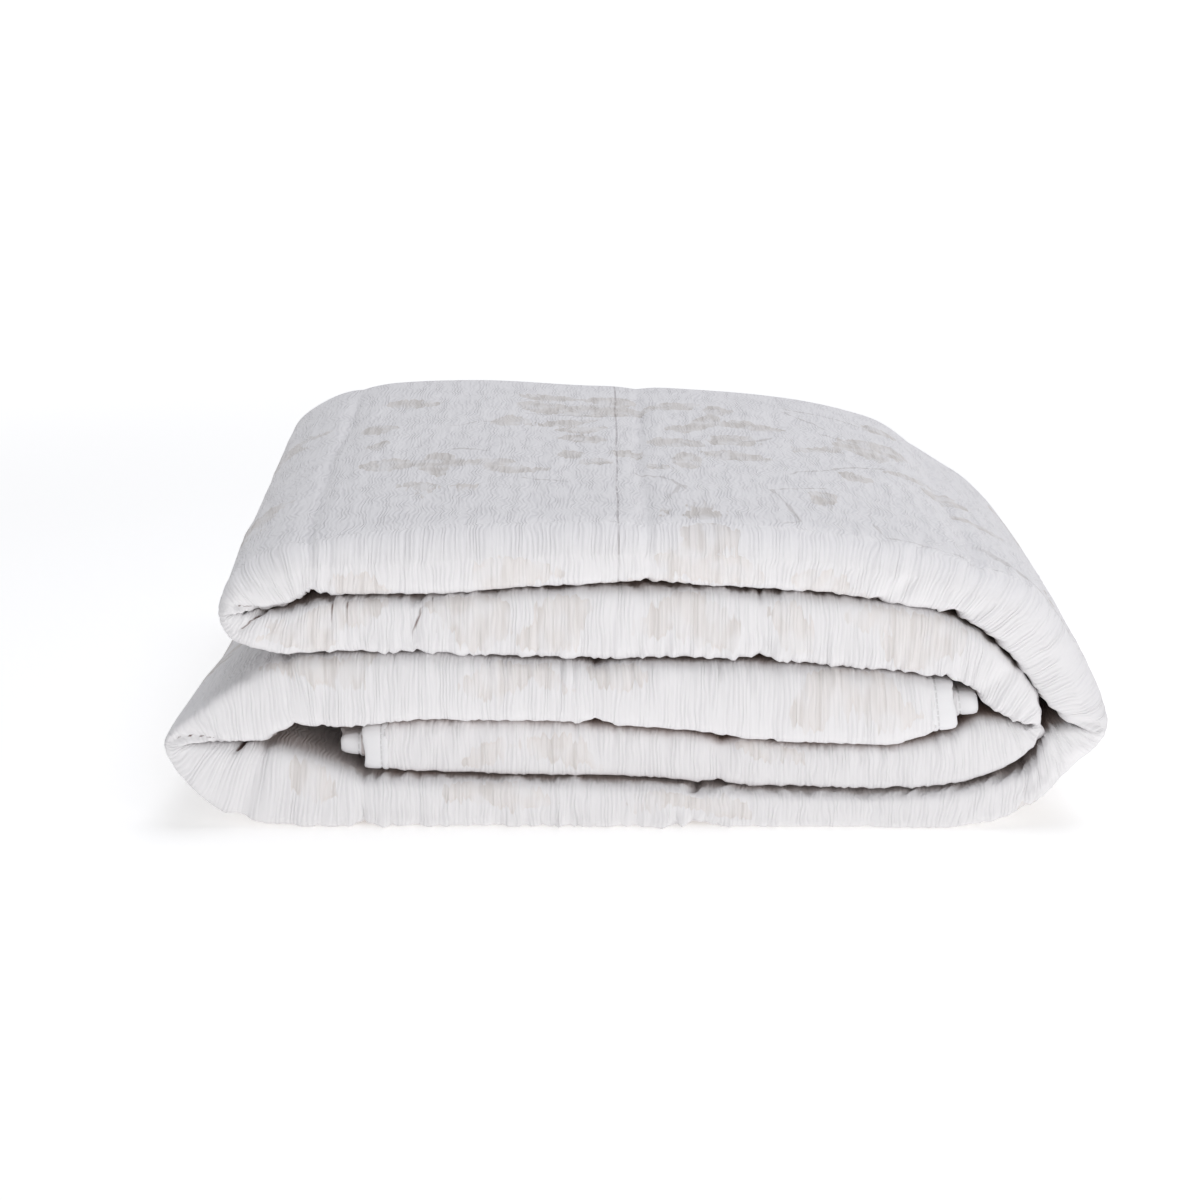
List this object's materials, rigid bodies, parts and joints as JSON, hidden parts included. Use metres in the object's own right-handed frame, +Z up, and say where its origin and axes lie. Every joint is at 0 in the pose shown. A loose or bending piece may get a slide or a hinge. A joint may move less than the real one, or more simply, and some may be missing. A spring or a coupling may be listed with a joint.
{
  "type": "folded quilted bedspread",
  "caption": "Off-white quilted bedspread in crinkled cotton with faint beige leaves, folded into a soft low pile with rounded edges and smooth white taped ends.",
  "frame": {"origin": "centre of the pile's base, on the surface it rests on", "axes": "X runs along the pile's longer side to the right as pictured, Y runs away from the rounded front folds to the taped back, Z is up"},
  "size_m": [0.5648, 0.45, 0.1888],
  "materials": {
    "crinkle_cotton": "matt crinkled off-white cotton with faint beige leaves",
    "white_tape": "smooth matt white cotton tape"
  },
  "bodies": {
    "root": {"quilted_cloth": "crinkle_cotton", "end_tape_inner": "white_tape", "end_tape_outer": "white_tape", "hem_tape_outer": "white_tape", "hem_tape_inner": "white_tape"}
  },
  "joints": []
}
